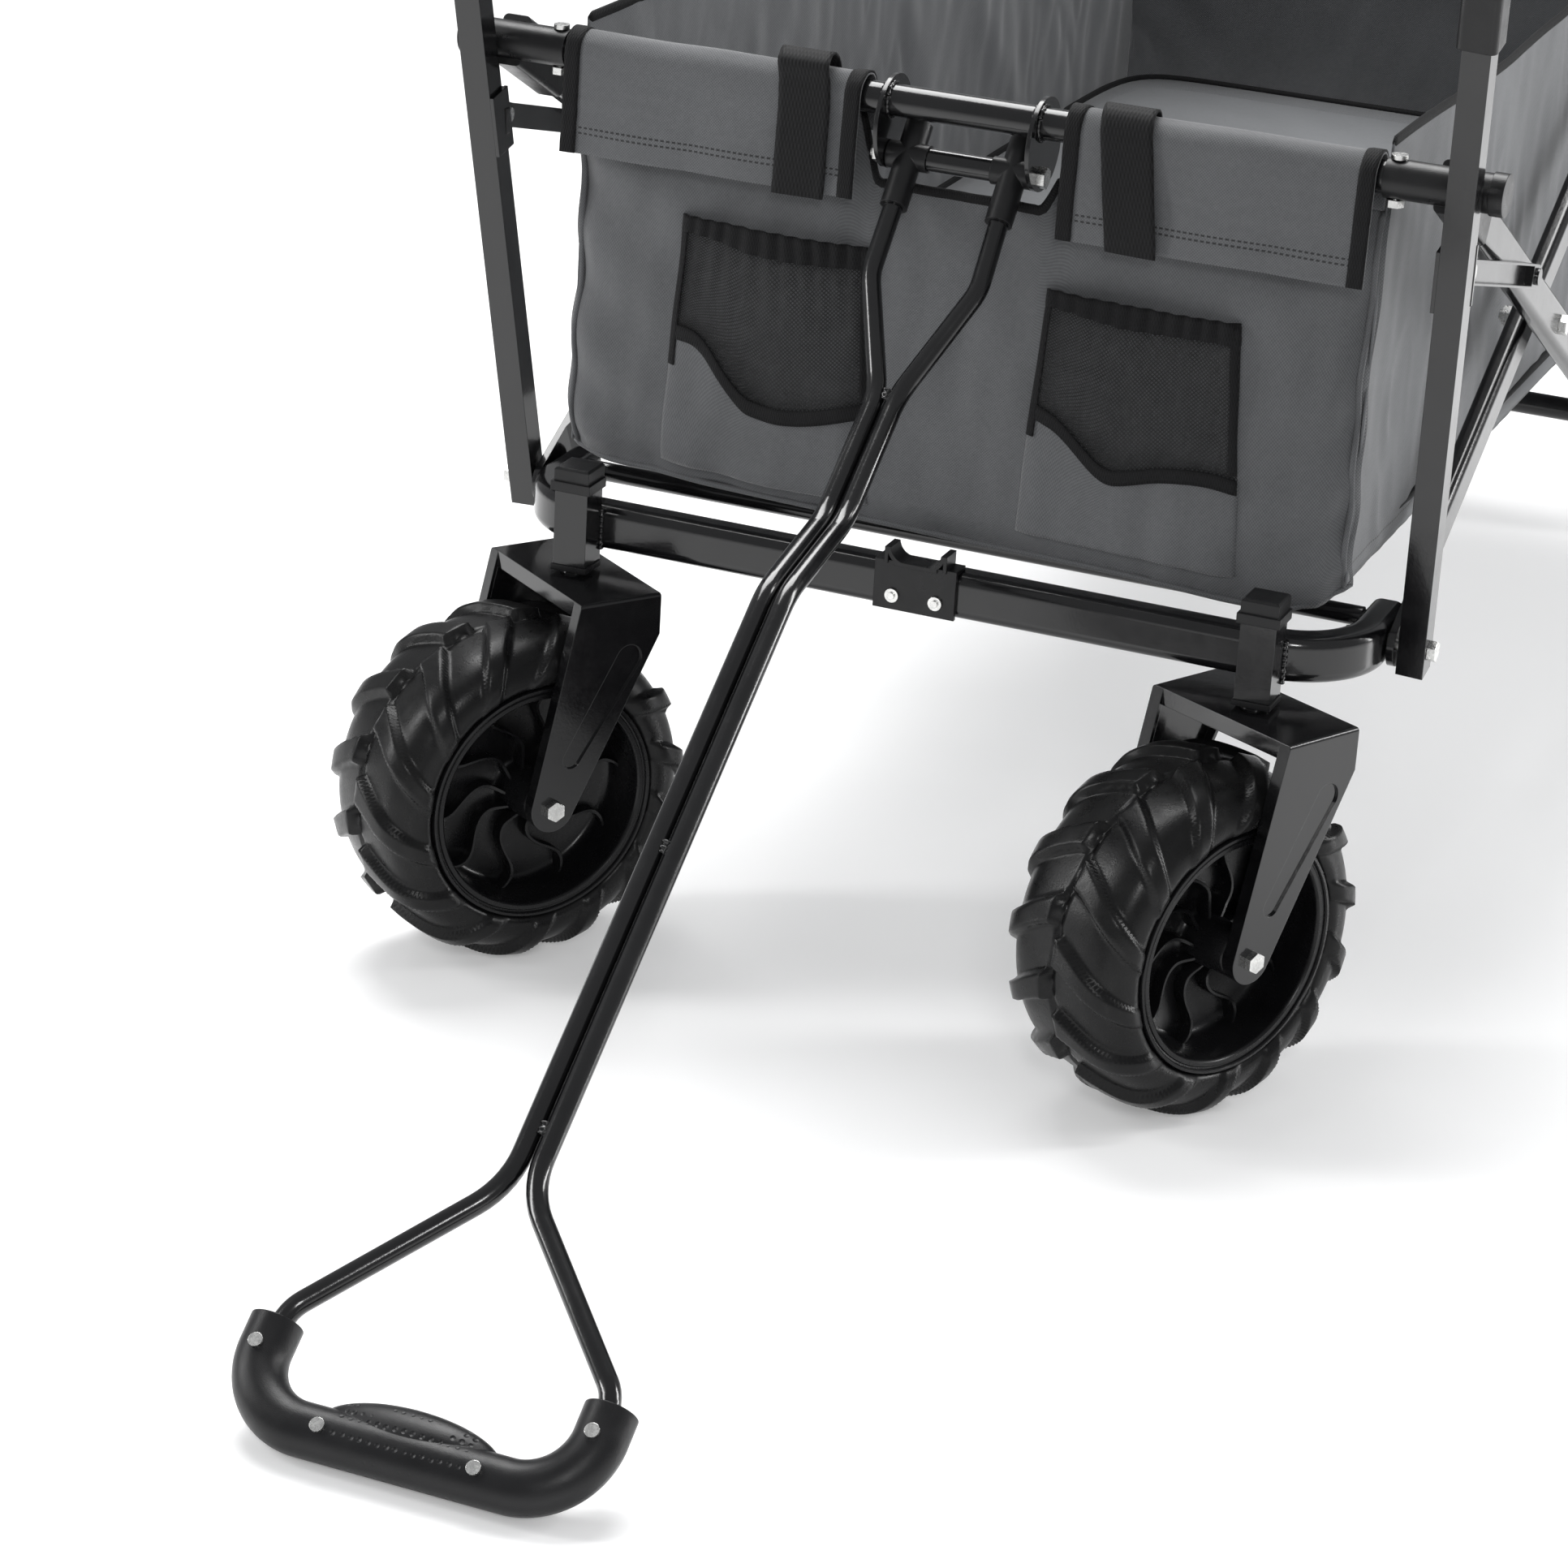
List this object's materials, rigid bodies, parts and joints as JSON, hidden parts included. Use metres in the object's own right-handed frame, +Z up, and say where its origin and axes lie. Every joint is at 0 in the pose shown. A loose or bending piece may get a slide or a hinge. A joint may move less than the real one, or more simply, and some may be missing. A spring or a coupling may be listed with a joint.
{
  "type": "folding beach cart",
  "caption": "Folding beach cart with a fabric bag on crossed side bars, wide soft wheels on swivel and fixed forks, canopy posts and a pull handle.",
  "frame": {"origin": "point on the ground in the middle of the front lower rail's front face", "axes": "+Z up, +Y from the front with the handle towards the rear, +X across the cart"},
  "size_m": [0.7586, 2.2788, 0.8261],
  "materials": {
    "black_tube": "glossy black powder coat",
    "black_plastic": "satin black moulded plastic",
    "zinc": "bright zinc-plated steel",
    "tyre": "semi-gloss black soft tyre",
    "hub": "satin black moulded plastic",
    "grey_fabric": "grey woven polyester",
    "black_webbing": "black webbing",
    "mesh": "black open mesh"
  },
  "bodies": {
    "front_frame": {"front_lower_frame": "black_tube", "caster_sockets_front": "black_tube", "socket_caps_front": "black_plastic", "stem_bushes_front": "black_plastic", "posts_front": "black_tube", "post_brackets_front": "black_tube", "post_collars_front": "black_plastic", "handle_clip": "black_plastic", "front_frame_bolts": "zinc"},
    "caster_front_left": {"fork_fl": "black_tube", "axle_fl": "zinc"},
    "caster_front_right": {"fork_fr": "black_tube", "axle_fr": "zinc"},
    "wheel_front_left": {"tyre_fl": "tyre", "hub_fl": "hub"},
    "wheel_front_right": {"tyre_fr": "tyre", "hub_fr": "hub"},
    "front_bars": {"bars_b_front": "black_tube"},
    "front_top": {"bars_a_front": "black_tube", "front_top_tube": "black_tube", "tee_connectors_front": "black_plastic", "handle_ears": "black_tube", "front_top_bolts": "zinc", "centre_bolts_front": "zinc"},
    "rear_top": {"bars_b_rear": "black_tube", "rear_top_tube": "black_tube", "tee_connectors_rear": "black_plastic", "middle_cross_tube": "black_tube", "rear_top_bolts": "zinc"},
    "rear_bars": {"bars_a_rear": "black_tube", "centre_bolts_rear": "zinc"},
    "rear_frame": {"rear_lower_frame": "black_tube", "caster_sockets_rear": "black_tube", "socket_caps_rear": "black_plastic", "forks_rear": "black_tube", "axles_rear": "zinc", "posts_rear": "black_tube", "post_brackets_rear": "black_tube", "post_collars_rear": "black_plastic", "rear_frame_bolts": "zinc"},
    "wheel_rear_left": {"tyre_rl": "tyre", "hub_rl": "hub"},
    "wheel_rear_right": {"tyre_rr": "tyre", "hub_rr": "hub"},
    "front_struts": {"struts_front": "black_tube"},
    "rear_struts": {"struts_rear": "black_tube"},
    "handle": {"handle_rods": "black_tube", "handle_tees": "black_plastic", "handle_spacer": "black_tube", "grip_upper_shell": "black_plastic", "grip_lower_shell": "black_plastic", "grip_screws": "zinc"},
    "bag_front": {"bag_front_wall": "grey_fabric", "rail_flaps": "grey_fabric", "flap_straps": "black_webbing", "mesh_pockets": "mesh", "bag_side_left": "grey_fabric", "bag_side_right": "grey_fabric", "bag_floor": "grey_fabric"},
    "bag_rear": {"bag_rear_wall": "grey_fabric"}
  },
  "joints": [
    {"name": "fold", "type": "hinge", "parent": "front_frame", "child": "front_bars", "pos_m": [0, 0.076, 0.305], "axis": [1, 0, 0], "range_deg": [0, 42]},
    {"name": "front_cross", "type": "hinge", "parent": "front_bars", "child": "front_top", "pos_m": [0, 0.3685, 0.45914], "axis": [1, 0, 0], "range_deg": [-84, 0]},
    {"name": "middle_pivot", "type": "hinge", "parent": "front_top", "child": "rear_top", "pos_m": [0, 0.661, 0.305], "axis": [1, 0, 0], "range_deg": [0, 84]},
    {"name": "rear_cross", "type": "hinge", "parent": "rear_top", "child": "rear_bars", "pos_m": [0, 0.9535, 0.45914], "axis": [1, 0, 0], "range_deg": [-84, 0]},
    {"name": "rear_pivot", "type": "hinge", "parent": "rear_bars", "child": "rear_frame", "pos_m": [0, 1.246, 0.305], "axis": [1, 0, 0], "range_deg": [0, 42]},
    {"name": "front_strut", "type": "hinge", "parent": "front_frame", "child": "front_struts", "pos_m": [0, 0.04, 0.581], "axis": [1, 0, 0], "range_deg": [0, 75.65]},
    {"name": "rear_strut", "type": "hinge", "parent": "rear_frame", "child": "rear_struts", "pos_m": [0, 1.282, 0.581], "axis": [1, 0, 0], "range_deg": [-75.65, 0]},
    {"name": "bag_front_hang", "type": "hinge", "parent": "front_top", "child": "bag_front", "pos_m": [0, 0.031, 0.637], "axis": [1, 0, 0], "range_deg": [0, 42], "deforming": ["bag_side_left", "bag_side_right", "bag_floor"]},
    {"name": "bag_rear_hang", "type": "hinge", "parent": "rear_top", "child": "bag_rear", "pos_m": [0, 1.291, 0.637], "axis": [1, 0, 0], "range_deg": [-42, 0]},
    {"name": "swivel_front_left", "type": "hinge", "parent": "front_frame", "child": "caster_front_left", "pos_m": [-0.252, -0.0125, 0.28], "axis": [0, 0, 1], "continuous": true},
    {"name": "swivel_front_right", "type": "hinge", "parent": "front_frame", "child": "caster_front_right", "pos_m": [0.252, -0.0125, 0.28], "axis": [0, 0, 1], "continuous": true},
    {"name": "roll_front_left", "type": "hinge", "parent": "caster_front_left", "child": "wheel_front_left", "pos_m": [-0.28045, -0.05239, 0.126], "axis": [0.8141, -0.5807, 0], "continuous": true},
    {"name": "roll_front_right", "type": "hinge", "parent": "caster_front_right", "child": "wheel_front_right", "pos_m": [0.229, -0.05576, 0.126], "axis": [0.8829, -0.4695, 0], "continuous": true},
    {"name": "roll_rear_left", "type": "hinge", "parent": "rear_frame", "child": "wheel_rear_left", "pos_m": [-0.252, 1.3835, 0.126], "axis": [1, 0, 0], "continuous": true},
    {"name": "roll_rear_right", "type": "hinge", "parent": "rear_frame", "child": "wheel_rear_right", "pos_m": [0.252, 1.3835, 0.126], "axis": [1, 0, 0], "continuous": true},
    {"name": "handle_pivot", "type": "hinge", "parent": "front_top", "child": "handle", "pos_m": [0, 0.031, 0.6], "axis": [-1, 0, 0], "range_deg": [0, 80]}
  ],
  "couplings": [
    {"joint": "front_cross", "follows": "fold", "ratio": -2},
    {"joint": "middle_pivot", "follows": "fold", "ratio": 2},
    {"joint": "rear_cross", "follows": "fold", "ratio": -2},
    {"joint": "rear_pivot", "follows": "fold", "ratio": 1},
    {"joint": "front_strut", "follows": "fold", "ratio": 1.801},
    {"joint": "rear_strut", "follows": "fold", "ratio": -1.801},
    {"joint": "bag_front_hang", "follows": "fold", "ratio": 1},
    {"joint": "bag_rear_hang", "follows": "fold", "ratio": -1}
  ]
}
